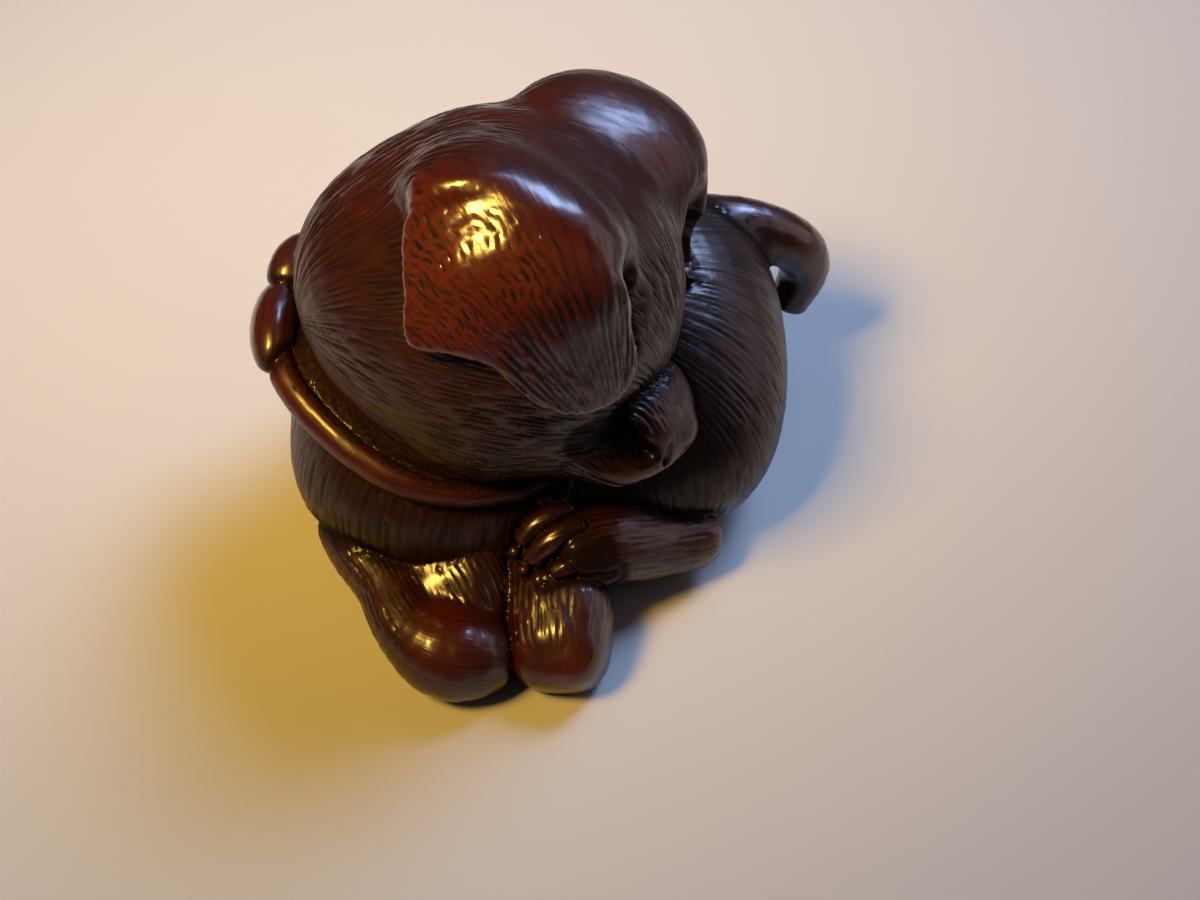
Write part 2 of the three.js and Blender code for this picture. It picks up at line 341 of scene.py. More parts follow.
def earFlap(q, skull, side):
    a, b = onEar(q, side)
    tip = a + ear["shorter"][side] * np.maximum(a - ear["tipFrom"], 0)
    edge = lookUp(earTable, tip, b) * ear["outer"]
    aboveRoot = pastRoot(a, b)
    root = rise(-1.8, 1.2, aboveRoot + 2.0 * rise(-5.0, -8.0, a))
    back = rise(-2.5, -7.5, a)
    crest = np.exp(-((aboveRoot - 0.2) / ear["crestWidth"]) ** 2) * rise(2.0, -4.0, a)
    top = ear["thick"] * (1 - ear["thinner"] * back * (1 - root)) + ear["crest"][side] * crest
    lean = ear["lean"] * clamp(1 - skull / 1.4) ** 2 * (1 - root) * (1 - 0.7 * back)
    flap = cut(skull - top, edge + lean, 0.5 + ear["blend"] * root + 0.5 * back)
    inFront = rise(0.2, 2.0, a) * rise(-0.5, -2.0, b)
    hollow = clamp(1 - np.abs(edge - 0.3) / ear["hollowWidth"]) ** 2 * inFront
    return flap, root, hollow


def headField(q):
    out = {}
    nearSide = folded(q)
    soft = head["softness"]
    skull = join(clay(q, head["skull"], soft["skull"]), ellipsoid(q, **head["mound"]), soft["mound"])
    flaps = []
    for name, side in earSides.items():
        flap, root, hollow = earFlap(q, skull, side)
        flaps.append((flap, root))
        out[name] = flap
        skull = skull + ear["hollow"] * hollow
    muzzle = clay(q, head["muzzle"], soft["muzzle"])
    muzzle = join(muzzle, ellipsoid(q, **head["nose"]), soft["nose"])
    for hollow in head["hollows"]:
        muzzle = cut(muzzle, -ellipsoid(nearSide, **hollow), soft["hollows"])
    muzzle = join(muzzle, tube(nearSide, head["lip"])[0], soft["lip"])
    muzzle = cut(muzzle, -tube(nearSide, head["notch"])[0], soft["notch"])
    muzzle = cut(muzzle, -ellipsoid(nearSide, **head["nostril"]), soft["nostril"])
    muzzle = cut(muzzle, -ellipsoid(q, **head["mouth"]), soft["mouth"])
    out["skull"], out["muzzle"] = skull, muzzle
    brow = head["brow"]
    upper = rise(0.0, 1.8, q[:, 2] - 0.12 * (12 - q[:, 0]))  # 1 above a slope along the muzzle, 0 below
    fillet = brow["softness"] + head["cheek"] * (1 - upper)
    whole = creased(skull, muzzle, brow["depth"] * upper, brow["width"], fillet)
    out["eye"] = ellipsoid(nearSide, **head["eye"])
    whole = creased(whole, out["eye"], *head["lid"])
    for flap, root in flaps:
        whole = join(whole, flap, ear["edge"] + ear["blend"] * root)
    out["head"] = cut(whole, -ellipsoid(q, **head["underFarEar"]), soft["underFarEar"])
    return out


trunk = {
    "forms": [
        {"at": (-11.0, -5.0, 6.9), "size": (8.9, 9.2, 7.5)},
        {"at": (-4.5, 4.5, 9.0), "size": (11.0, 8.2, 9.2)},
        {"at": (3.4, 3.6, 8.6), "size": (8.7, 9.6, 8.8)},
        {"at": (6.0, -2.6, 6.4), "size": (5.7, 7.0, 6.6)},
        {"at": (-0.6, -5.4, 4.6), "size": (6.5, 6.0, 4.6)},
        {"at": (-11.6, -1.4, 12.6), "size": (7.6, 7.8, 4.0)},
        {"at": (-8.0, -9.6, 3.2), "size": (4.8, 4.0, 3.6)},
    ],
    "softness": 4,
    "middle": (-2.5, -1.0),  # the hair runs down all round this
}

limbs = {
    "rightFore": laidOut({
        "path": [(-16.2, -8.6, 5.0), (-14.8, -11.8, 4.5), (-13.3, -14.5, 4.1), (-11.6, -17.5, 3.6),
                 (-9.4, -18.7, 3.0), (-6.0, -18.3, 2.0)],
        "radius": [2.6, 2.4, 2.0, 2.2, 3.0, 1.7]}),
    "leftFore": laidOut({
        "path": [(-4.8, -8.6, 3.8), (-3.2, -14.0, 3.6), (-2.5, -19.4, 2.6)],
        "radius": [3.1, 2.8, 2.6]}),
    "hindFoot": laidOut({
        "path": [(7.1, -8.7, 2.5), (3.4, -10.8, 3.8), (-0.4, -12.7, 5.9), (-2.9, -13.9, 5.9)],
        "radius": [2.4, 2.4, 2.6, 2.4]}),
    "tail": laidOut({
        "path": [(4.6, 7.6, 13.6), (9.4, 8.6, 12.9), (12.9, 9.1, 11.0), (14.1, 9.6, 8.4), (13.0, 8.9, 5.0)],
        "radius": [2.3, 2.1, 1.9, 1.75, 1.3],
        "facing": (0, -1, 0.2)}),
}
leftPaw = {"at": (-2.4, -16.9, 2.9), "size": (3.1, 4.0, 2.9), "turn": (24, -13, -3), "squareness": 3}

# the low web that joins the forelegs
web = {"at": (-10.0, -12.5, 3.3), "size": (4.8, 5.9, 3.5), "turn": (28, -13, 8), "squareness": 2.6}

toes = [laidOut({"path": path, "radius": [0.8, 0.78, 0.68]}, 12) for path in (
    [(-1.6, -11.4, 7.9), (-3.7, -12.5, 7.9), (-4.9, -13.3, 6.8)],
    [(-0.8, -12.8, 8.1), (-2.9, -13.8, 7.9), (-4.3, -14.5, 6.6)],
    [(0.6, -13.9, 7.0), (-1.6, -14.8, 6.8), (-3.0, -15.3, 6.1)],
    [(1.2, -14.2, 5.6), (-1.2, -15.2, 5.5), (-3.3, -15.7, 5.2)],
)]
claws = [{"at": at, "size": (0.4, 0.36, 0.5), "turn": (20, 25, 0), "squareness": 2.6} for at in (
    (-5.3, -13.7, 6.5), (-4.7, -14.9, 6.2), (-3.4, -15.75, 5.9), (-3.9, -15.9, 5.1))]

collar = laidOut({
    "path": [(-19.8, -4.7, 14.8), (-16.2, -10.0, 13.3), (-11.2, -12.6, 11.6), (-6.0, -11.6, 9.9),
             (-0.8, -7.4, 8.8), (4.4, -2.0, 9.6), (3.0, 4.6, 12.4), (-3.0, 8.8, 13.6), (-10.6, 8.6, 14.4),
             (-17.0, 3.6, 15.2)],
    "radius": 1.12,
    "closed": True,
    "inward": 0.25,  # how much nearer the head it lies than the path
    "roll": 1.3,  # how much nearer the head the loose skin above it lies
    "rollDrop": 0.6,  # and how much lower
}, 60)
toHead = headAt - collar["nodes"]
howFar = size3(toHead)[:, None]
neckRoll = dict(collar)
neckRoll["nodes"] = collar["nodes"] + collar["roll"] * toHead / howFar - np.array([0, 0, collar["rollDrop"]])
collar["nodes"] = collar["nodes"] + collar["inward"] * toHead / howFar

bow = [
    {"at": (-20.0, -2.6, 15.0), "size": (1.7, 3.7, 2.0)},
    {"at": (-19.2, 2.2, 15.6), "size": (1.7, 2.7, 1.7), "turn": (0, 0, -20)},
]

meeting = {  # where a form meets the body: depth and width of the carved line, and the fillet
    "limb": (0.25, 0.8, 0.6),
    "tail": (0, 0.8, 0.9),
    "head": (0.3, 0.6, 0.2),
    "small": (0.2, 0.5, 0.15),
}


def puppyField(p):  # how far each point lies outside the wood, and outside each form
    out = {}
    f = p - shift
    whole = clay(f, trunk["forms"], trunk["softness"])
    out["trunk"] = whole
    out["web"] = ellipsoid(f, **web)
    for name, form in limbs.items():
        d = tube(f, form)[0]
        if name == "leftFore":
            d = join(d, ellipsoid(f, **leftPaw), 0.6)
        out[name] = d
        if name == "rightFore":
            d = join(d, out["web"], 0.8)
        whole = creased(whole, d, *meeting["tail" if name == "tail" else "limb"])
    for i, (toe, claw) in enumerate(zip(toes, claws)):
        d = join(tube(f, toe)[0], ellipsoid(f, **claw), 0.12)
        out["toe%d" % i] = d
        whole = creased(whole, d, *meeting["small"])
    out["collar"] = tube(f, collar)[0]
    whole = creased(whole, out["collar"], *meeting["small"])
    near = size3(f - headAt) < head["reach"]
    for name, value in headField(inHead(f[near])).items():
        out[name] = np.full(len(p), far)
        out[name][near] = value
    roll = tube(f, neckRoll)[0]
    out["skull"] = np.minimum(out["skull"], roll)
    whole = creased(whole, join(out["head"], roll, 1.6), *meeting["head"])
    for i, loop in enumerate(bow):
        out["bow%d" % i] = ellipsoid(f, **loop)
        whole = creased(whole, out["bow%d" % i], *meeting["small"])
    whole = cut(whole, -p[:, 2], 0.5)  # flat where it rests
    return whole, out


work = {
    # mesh width, and how often it is drawn onto the field
    "passes": [(0.3, 4), (0.3, 4), (0.25, 5), (0.15, 4), (0.085, 2)],
    "quickPasses": [(0.3, 4), (0.3, 4), (0.25, 5)],
    "relax": 0.4,  # share of the way to its neighbours that a point slides
    "fineRelax": 0.2,  # the same once the mesh is finer than fineFrom
    "fineFrom": 0.1,
    "pull": 0.9,  # share of the way to the field that a point moves
    "distant": 0.25,  # further off than this the mesh's own facing isn't followed
    "leap": 0.6,  # the furthest that such a point moves at once
    "faces": 196000,
}


def perPoint(mesh, kind="co"):
    flat = np.empty(len(mesh.vertices) * 3, dtype=np.float32)
    mesh.vertices.foreach_get(kind, flat)
    return flat.reshape(-1, 3).astype(float)


def place(mesh, points):
    mesh.vertices.foreach_set("co", points.astype(np.float32).ravel())
    mesh.update()


def applied(piece):
    graph = bpy.context.evaluated_depsgraph_get()
    made = bpy.data.meshes.new_from_object(piece.evaluated_get(graph))
    piece.modifiers.clear()
    old = piece.data
    piece.data = made
    bpy.data.meshes.remove(old)


def remeshed(piece, width):
    step = piece.modifiers.new("remesh", "REMESH")
    step.mode = "VOXEL"
    step.voxel_size = width
    step.adaptivity = 0
    applied(piece)


def neighbours(mesh):
    pairs = np.empty(len(mesh.edges) * 2, dtype=np.int32)
    mesh.edges.foreach_get("vertices", pairs)
    return pairs.reshape(-1, 2)


def averaged(points, pairs, counts):
    out = np.empty_like(points)
    n = len(points)
    for k in range(points.shape[1]):
        out[:, k] = (np.bincount(pairs[:, 0], points[pairs[:, 1], k], n)
                     + np.bincount(pairs[:, 1], points[pairs[:, 0], k], n))
    return out / counts[:, None]


def onlyLargest(mesh):  # chips that came away while working are thrown out
    pairs = neighbours(mesh)
    label = np.arange(len(mesh.vertices))
    while True:
        low = np.minimum(label[pairs[:, 0]], label[pairs[:, 1]])
        new = label.copy()
        np.minimum.at(new, pairs[:, 0], low)
        np.minimum.at(new, pairs[:, 1], low)
        new = new[new]
        new = new[new]
        if np.array_equal(new, label):
            break
        label = new
    names, counts = np.unique(label, return_counts=True)
    if len(names) == 1:
        return 0
    chips = np.nonzero(label != names[counts.argmax()])[0]
    loose = bmesh.new()
    loose.from_mesh(mesh)
    loose.verts.ensure_lookup_table()
    bmesh.ops.delete(loose, geom=[loose.verts[i] for i in chips], context="VERTS")
    loose.to_mesh(mesh)
    loose.free()
    return len(names) - 1


def outward(points, step=0.02):  # which way the field rises, felt out on both sides of each point
    out = np.empty_like(points)
    for k in range(3):
        feel = np.zeros(3)
        feel[k] = step
        out[:, k] = (puppyField(points + feel)[0] - puppyField(points - feel)[0]) / (2 * step)
    return out


def settle(mesh, rounds, relax, stride):  # slides the points apart evenly, then draws them onto the field
    pairs = neighbours(mesh)
    counts = np.maximum(np.bincount(pairs.ravel(), minlength=len(mesh.vertices)), 1)
    points = perPoint(mesh)
    for i in range(rounds):
        n = perPoint(mesh, "normal")
        drift = averaged(points, pairs, counts) - points
        drift -= n * (drift * n).sum(axis=1)[:, None]
        points = points + relax * drift
        away = puppyField(points)[0]
        move = -n * clamp(away * work["pull"], -stride, stride)[:, None]
        distant = np.abs(away) > work["distant"]
        if distant.any():
            g = outward(points[distant])
            steep = np.maximum((g * g).sum(axis=1), 0.25)
            move[distant] = -g * (clamp(away[distant], -work["leap"], work["leap"]) / steep)[:, None]
        points = points + move
        place(mesh, points)
    return float(np.abs(away).mean())


def scaled(mesh, factor, merge=False):
    block = bmesh.new()
    block.from_mesh(mesh)
    if merge:
        bmesh.ops.remove_doubles(block, verts=block.verts, dist=1e-7)
    bmesh.ops.scale(block, vec=(factor, factor, factor), verts=block.verts)
    block.to_mesh(mesh)
    block.free()


def carved():
    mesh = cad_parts["puppy"].data.copy()
    mesh.name = "carvedPuppy"
    scaled(mesh, 1000, merge=True)
    piece = bpy.data.objects.new("carvedPuppy", mesh)
    bpy.context.scene.collection.objects.link(piece)
    start = time.time()
    for width, rounds in work["passes"]:
        remeshed(piece, width)
        chips = onlyLargest(piece.data)
        off = settle(piece.data, rounds, work["relax" if width > work["fineFrom"] else "fineRelax"], width)
        print("worked at %.3f mm: %d points, %d chips, off by %.4f, %.1f s"
              % (width, len(piece.data.vertices), chips, off, time.time() - start))
    cutHair(piece.data)
    print("hair cut, %.1f s" % (time.time() - start))
    fewer = piece.modifiers.new("fewer", "DECIMATE")
    fewer.ratio = min(1.0, work["faces"] / (2 * len(piece.data.polygons)))
    fewer.use_collapse_triangulate = True
    applied(piece)
    print("thinned to %d faces, %.1f s" % (len(piece.data.polygons), time.time() - start))
    return piece


hair = {  # spacing, length and depth of the carved lines
    "trunk": (0.4, 4.2, 0.07),
    "rightFore": (0.42, 3.6, 0.09),
    "web": (0.42, 4.2, 0.11),
    "leftFore": (0.45, 3.0, 0.11),
    "hindFoot": (0.42, 3.6, 0.08),
    "skull": (0.38, 3.2, 0.11),
    "muzzle": (0.34, 3.0, 0.15),
    "leftEar": (0.44, 4.2, 0.06),
    "rightEar": (0.44, 5.0, 0.075),
}
for i in range(len(toes)):
    hair["toe%d" % i] = (0.36, 2.2, 0.06)

# how far along a limb the hair has stopped, and where it begins to
hairStops = {"rightFore": (12.5, 9.0), "leftFore": (12.0, 9.0), "hindFoot": (12.5, 10.0)}

# A girth here turns an angle round a form into millimetres across the hair.
fullTurn = 6.28318
trunkGirth = 11
toeGirth = 0.75
crownHair = {
    "from": (-6.2, -5.5, -7.6),  # it fans out round this line
    "to": (12.0, 2.0, 2.0),
    "girth": 8,
    "closeBeyond": (6.0, 8.5),  # how far out from the line the spacing changes
    "inside": 1.25,  # the spacing inside and outside, against the one above
    "outside": 0.72,
    "depth": 1.1,
    "moreOnBrow": 0.8,
    "lessOnCrown": 0.8,
}
earHair = {
    "centre": (13, 0.4),  # the lines draw together towards this point, beyond the tip
    "girth": 12,
    "peckWidth": 0.34,
    "peckLength": 0.9,
    "peckDepth": 0.9,
}
webHair = (0.84, 0.54)  # straight across it

# lighter lines between the others: how far over and along, how long against them, and how deep
between = {"aside": 0.5, "further": 1.3, "length": 0.8, "share": 0.55}
patches = {"size": 6.0, "least": 0.75, "more": 0.25}  # the cutting is a little lighter in places
unevenness = [(0.02, 2.1, 4), (0.012, 0.9, 6)]  # the hand of the carver: height, size and seed

tone = {  # how red and how polished each part is
    "trunk": (0.2, 0.1),
    "rightFore": (0.35, 0.4),
    "leftFore": (0.35, 0.45),
    "hindFoot": (0.3, 0.25),
    "tail": (0.55, 0.45),
    "web": (0.3, 0.45),
    "toe0": (0.4, 0.5),
    "toe1": (0.4, 0.5),
    "toe2": (0.45, 0.5),
    "toe3": (0.5, 0.5),
    "collar": (0.72, 0.28),
    "bow0": (0.7, 0.8),
    "bow1": (0.5, 0.7),
    "skull": (0.36, 0.15),
    "muzzle": (0.42, 0.25),
    "eye": (0.0, 0.0),
    "leftEar": (0.55, 0.15),
    "rightEar": (1.0, 1.0),
}
regions = list(tone)
atEarRoot = (0.3, 0.2)  # the same where an ear is rooted
# how far the painted shade, with some grime, reaches round forms, the collar, the socket beside the muzzle and
# the eye
shadeAndGrimeReach = {"forms": (1.0, 0.1), "collar": (1.4, 0.5), "socket": (0.45, 0.1), "eye": (0.0, 0.3)}

# soft patches: where, how large, how strong
wornOnBody = [
    ((-9.4, -18.8, 4.4), 4.5, 0.8),
    ((-4.6, -17.8, 2.8), 4.6, 0.7),
    ((-1.6, -20.4, 2.8), 4.2, 0.8),
    ((7.6, -9.6, 2.6), 4.2, 0.8),
    ((-16.5, -8.0, 5.0), 4.0, 0.4),
    ((-4.6, -15.6, 6.0), 3.0, 0.6),
]
wornOnHead = [
    ((-7.0, 1.0, 7.0), 7.5, 0.62),
    ((-8.5, -4.5, 2.0), 7.0, 0.6),
    ((10.6, -1.0, 5.6), 3.4, 0.5),
    ((13.6, -1.5, 0.6), 3.4, 0.55),
    ((-1.9, 5.6, 10.6), 5.5, 0.4),
]
# golden specks in the crevices, partly dust and partly painted glints of the warm lamp: where, how large, how
# strong
dustAndGlintsOnBody = [
    ((-8.0, -12.0, 6.0), 6.0, 1.0),
    ((-17.0, -9.0, 14.0), 6.0, 1.0),
    ((-10.0, -13.0, 12.0), 7.0, 0.9),
    ((-4.0, -12.5, 8.0), 4.0, 0.8),
]


# short tapering cuts, from 0 for untouched wood to 1 at the bottom
def strokes(across, along, pitch, length, seed):
    lane = across / pitch + 0.4 * np.sin(along / length * 2.1 + across / pitch * 0.21 + seed)
    row = np.floor(lane)
    lengths = along / length + 7 * dice(row, 0, seed)
    number = np.floor(lengths)
    middle = 0.5 + 0.24 * (dice(row, number, seed + 1) - 0.5)
    half = 0.3 + 0.19 * dice(row, number, seed + 2)
    halfWidth = 0.26 + 0.12 * dice(row, number, seed + 4)
    sideways = (lane - row - 0.5 - 0.3 * (dice(row, number, seed + 3) - 0.5)) / halfWidth
    lengthways = (lengths - number - middle) / half
    return (0.5 + 0.5 * dice(row, number, seed + 5)) * clamp(1 - sideways ** 2) * clamp(1 - lengthways ** 4)


def roundCrown(q):  # from the start of the crown hair's line, and the way that the line runs
    start = np.array(crownHair["from"])
    return q - start, unit(np.array(crownHair["to"]) - start)


# how the hair lies: across it, along it, and after how far across it comes round again
def lay(name, f):
    if name in limbs or name == "collar":
        form = limbs[name] if name in limbs else collar
        d, along, turn = tube(f, form)
        girth = float(form["girth"].mean())
        return turn * girth, along, fullTurn * girth
    if name.startswith("toe"):
        d, along, turn = tube(f, toes[int(name[3])])
        return turn * toeGirth, along, fullTurn * toeGirth
    if name == "trunk":
        x, y = f[:, 0] - trunk["middle"][0], f[:, 1] - trunk["middle"][1]
        return np.arctan2(x, -y) * trunkGirth, f[:, 2], fullTurn * trunkGirth
    if name == "web":
        u, v = webHair
        return f[:, 0] * u + f[:, 1] * v, f[:, 0] * v - f[:, 1] * u, 0
    q = inHead(f)
    if name in earSides:
        a, b = onEar(q, earSides[name])
        ahead, below = earHair["centre"]
        outwards = np.hypot(ahead - a, b - below)
        return np.arctan2(b - below, ahead - a) * earHair["girth"], ahead - outwards, 0
    if name == "muzzle":
        side = np.where(q[:, 1] < 0, -1, 1)
        top = rise(1.0, 2.4, q[:, 2])
        onTop = q[:, 1] * 0.978 - q[:, 0] * 0.208
        onSide = (q[:, 2] * 0.9 + 20) * side
        return top * onTop + (1 - top) * onSide, q[:, 0], 0
    if name == "skull":
        v, axis = roundCrown(q)
        up = unit(np.array([0, 0, 1.0]) - axis * axis[2])
        angle = np.arctan2(v @ np.cross(axis, up), v @ up)
        return angle * crownHair["girth"], v @ axis, fullTurn * crownHair["girth"]
    return f[:, 0], f[:, 2], 0


# closer together far out from the line, deep at the brow and faint on the crown
def crownCuts(q, across, along, pitch, length):
    v, axis = roundCrown(q)
    r = size3(v - (v @ axis)[:, None] * axis)
    outer = rise(*crownHair["closeBeyond"], r)
    inside = strokes(across, along, pitch * crownHair["inside"], length, 3)
    outside = strokes(across, along, pitch * crownHair["outside"], length, 5)
    one = inside * (1 - outer) + outside * outer
    brow = rise(1.0, 8.0, q[:, 0])
    crown = rise(6.0, 11.0, q[:, 2]) * (1 - brow)
    return one * (crownHair["depth"] + crownHair["moreOnBrow"] * brow) * (1 - crownHair["lessOnCrown"] * crown)


def earCuts(q, side, one, across, along):  # short pecks behind, long lines towards the tip
    a, b = onEar(q, side)
    back = rise(1.5, -1.5, a - 0.4 * b)
    lines = np.minimum(one * 2.4, 1.0) * (1 - back) * rise(-2.5, 1.0, a + 0.6 * b)
    pecks = strokes(across, along, earHair["peckWidth"], earHair["peckLength"], 5)
    return (lines + earHair["peckDepth"] * back * pecks) * rise(0.8, -2.5, pastRoot(a, b))


def cuts(f, which):  # how deep the tool went, from 0 to 1 and in millimetres
    share = np.zeros(len(f))
    depth = np.zeros(len(f))
    patchy = patches["least"] + patches["more"] * noise3(f, patches["size"], 2)
    for name, (pitch, length, deep) in hair.items():
        chosen = which == regions.index(name)
        if not chosen.any():
            continue
        across, along = lay(name, f[chosen])[:2]
        q = inHead(f[chosen])
        if name == "skull":
            one = crownCuts(q, across, along, pitch, length)
        else:
            one = strokes(across, along, pitch, length, 1)
            aside, further = across + pitch * between["aside"], along + between["further"]
            lighter = between["share"] * strokes(aside, further, pitch, length * between["length"], 9)
            one = np.maximum(one, lighter)
        if name in earSides:
            one = earCuts(q, earSides[name], one, across, along)
        elif name == "muzzle":
            one = np.minimum(one * 1.6, 1.0) * rise(13.4, 11.2, q[:, 0])
        elif name in hairStops:
            one = one * rise(*hairStops[name], along)
        share[chosen] = one
        depth[chosen] = one * deep
    return share * patchy, depth * patchy


def nearestRegion(fields):
    return np.argmin(np.abs(np.stack([fields[name] for name in regions])), axis=0)


def cutHair(mesh):
    points = perPoint(mesh)
    n = perPoint(mesh, "normal")
    f = points - shift
    depth = cuts(f, nearestRegion(puppyField(points)[1]))[1]
    soft = sum(height * noise3(f, size, seed) for height, size, seed in unevenness)
    place(mesh, points - n * (depth + soft)[:, None])


def spots(f, places):
    out = np.zeros(len(f))
    for at, reach, strength in places:
        out = np.maximum(out, strength * rise(reach, reach * 0.3, size3(f - np.array(at))))
    return out


# painted shade, with some grime: darker where two forms meet, in the gap behind the collar and in the hollow
# beside the muzzle
def shadeAndGrimeMask(fields, which, q):
    onHead = size3(q) < head["close"]
    forms = [name for name in regions if name not in ("web", "eye", "leftEar", "rightEar")]
    second = np.sort(np.abs(np.stack([fields[name] for name in forms])), axis=0)[1]
    clearOfEars = (fields["leftEar"] > 0.5) * (fields["rightEar"] > 0.5)
    shadeAndGrime = rise(*shadeAndGrimeReach["forms"], second) * clearOfEars
    besideCollar = rise(*shadeAndGrimeReach["collar"], np.abs(fields["collar"])) * 0.9
    shadeAndGrime = np.maximum(shadeAndGrime, (which == regions.index("skull")) * besideCollar)
    socket = np.minimum.reduce([ellipsoid(folded(q), **hollow) for hollow in head["hollows"]])
    clearOfEye = rise(*shadeAndGrimeReach["eye"], np.abs(fields["eye"]))
    return np.maximum(shadeAndGrime, onHead * rise(*shadeAndGrimeReach["socket"], socket) * clearOfEye)


def written(mesh, name, values):
    layer = mesh.attributes.new(name, "FLOAT", "POINT")
    layer.data.foreach_set("value", values.astype(np.float32))


def stained(mesh):  # what the colour depends on
    points = perPoint(mesh)
    fields = puppyField(points)[1]
    which = nearestRegion(fields)
    f = points - shift
    q = inHead(f)
    red, shiny = np.array(list(tone.values())).T[:, which]
    for name, side in earSides.items():
        a, b = onEar(q, side)
        here = which == regions.index(name)
        flap = rise(1.8, -2.2, pastRoot(a, b))
        dark = 0.5 * rise(-2.0, 2.5, a) * rise(7.3, 6.2, a)  # across the middle, with the tip red again
        red = np.where(here, atEarRoot[0] + (red - atEarRoot[0]) * flap * (1 - dark), red)
        shiny = np.where(here, atEarRoot[1] + (shiny - atEarRoot[1]) * flap, shiny)
    worn = np.maximum(spots(f, wornOnBody), spots(q, wornOnHead) * (size3(q) < head["close"]))
    shadeAndGrime = shadeAndGrimeMask(fields, which, q)
    written(mesh, "groove", cuts(f, which)[0])
    written(mesh, "red", np.maximum(red, worn))
    written(mesh, "polish", np.maximum(shiny, 0.7 * worn))
    written(mesh, "shadeAndGrime", shadeAndGrime)
    written(mesh, "dustAndGlints", shadeAndGrime * spots(f, dustAndGlintsOnBody))
    mapped(mesh, f, which)


def perFace(mesh, kind, dtype, width=1):
    flat = np.empty(len(mesh.polygons) * width, dtype=dtype)
    mesh.polygons.foreach_get(kind, flat)
    return flat


def mapped(mesh, f, which):  # a map that runs along the hair, a centimetre to a unit
    corners = np.empty(len(mesh.loops), dtype=np.int32)
    mesh.loops.foreach_get("vertex_index", corners)
    starts = perFace(mesh, "loop_start", np.int32)
    faceOf = np.repeat(np.arange(len(starts)), perFace(mesh, "loop_total", np.int32))
    centres = perFace(mesh, "center", np.float32, 3).reshape(-1, 3).astype(float) - shift
    faceRegion = which[corners[starts]]
    uv = np.zeros((len(corners), 2))
    for number, name in enumerate(regions):
        chosen = faceRegion[faceOf] == number
        if not chosen.any():
            continue
        across, along, period = lay(name, f[corners[chosen]])
        if period:  # no face reaches right round
            picked = faceRegion == number
            middle = np.zeros(len(starts))
            middle[picked] = lay(name, centres[picked])[0]
            across = across + period * np.round((middle[faceOf[chosen]] - across) / period)
        uv[chosen, 0] = across / 10 + 0.37 * number
        uv[chosen, 1] = along / 10
    layer = mesh.uv_layers.new(name="hair")
    layer.data.foreach_set("uv", uv.astype(np.float32).ravel())


puppy = carved()
stained(puppy.data)
scaled(puppy.data, mm)
for face in puppy.data.polygons:
    face.use_smooth = True
print("stained and mapped")


finish = {
    "colours": [  # from the duller brown of the hollows to the redder brown of what is handled most
        (0.0, (0.01, 0.0034, 0.0015, 1)),
        (0.35, (0.024, 0.0048, 0.0014, 1)),
        (0.7, (0.038, 0.0045, 0.0009, 1)),
        (1.0, (0.068, 0.0125, 0.0012, 1)),
    ],
    # the colour in the carved lines: partly dark stain in them, partly painted shade
    "stainAndShadeInLines": (0.003, 0.0014, 0.001, 1),
    # the colour of painted shade, with some grime, in crevices, the collar gap and the hollow beside the
    # muzzle
    "shadeAndGrimeColour": (0.003, 0.0015, 0.0012, 1),
    # golden specks, partly dust and partly painted glints of the warm lamp
    "dustAndGlints": (0.08, 0.045, 0.015, 1),
    "lineStainAndShade": 0.92,
    "shadeAndGrimeDarkness": 0.85,
    "grooveStrength": 1.7,
    "mottle": (0.5, -0.27),  # here and in the next three, the contrast and what is added
    "thread": (4.0, -1.95),
    "fleck": (5.0, -2.3),
    "dustAndGlintShare": (0.17, 0.02),
    "mottleSize": 260.0,  # clouds about 4 mm across
    "fleckSize": 3600.0,
    "threadScale": (60, 4, 1),  # thin lines that follow the hair
    "roughness": {"wood": 0.31, "mottle": 0.08, "polish": -0.17, "line": 0.1, "shadeAndGrime": 0.3},
    "shine": {"wood": 0.3, "polish": 0.24, "line": -0.14, "shadeAndGrime": -0.4, "least": 0.05},
    "coat": 0.65,
    "coatRoughness": 0.16,
    "ior": 1.52,
    "bump": {"thread": 0.8, "fleck": 0.25, "height": 0.00004, "strength": 0.6},
}

wood = bpy.data.materials.new("darkBoxwood")
wood.use_nodes = True


def node(kind, **settings):
    made = wood.node_tree.nodes.new(kind)
    for name, value in settings.items():
        setattr(made, name, value)
    return made


def feed(socket, value):
    if isinstance(value, bpy.types.NodeSocket):
        wood.node_tree.links.new(value, socket)
    else:
        socket.default_value = value


def attribute(name):
    return node("ShaderNodeAttribute", attribute_name=name).outputs["Fac"]


def maths(operation, a, b=0.0, c=0.0):
    made = node("ShaderNodeMath", operation=operation)
    for socket, value in zip(made.inputs, (a, b, c)):
        feed(socket, value)
    return made.outputs[0]


def times(a, b, plus=0.0):
    return maths("MULTIPLY_ADD", a, b, plus)


def blend(share, a, b):
    made = node("ShaderNodeMix", data_type="RGBA", clamp_factor=True)
    feed(made.inputs["Factor"], share)
    feed(made.inputs[6], a)
    feed(made.inputs[7], b)
    return made.outputs[2]


def ramp(value, stops):
    made = node("ShaderNodeValToRGB")
    feed(made.inputs[0], value)
    band = made.color_ramp
    while len(band.elements) < len(stops):
        band.elements.new(0.5)
    for element, (at, colour) in zip(band.elements, stops):
        element.position = at
        element.color = colour
    return made.outputs[0]


def stretched(vector, scale, size, detail=3.0):
    spread = node("ShaderNodeMapping")
    feed(spread.inputs["Vector"], vector)
    feed(spread.inputs["Scale"], scale)
    made = node("ShaderNodeTexNoise")
    feed(made.inputs["Vector"], spread.outputs[0])
    feed(made.inputs["Scale"], size)
    feed(made.inputs["Detail"], detail)
    return made.outputs["Fac"]


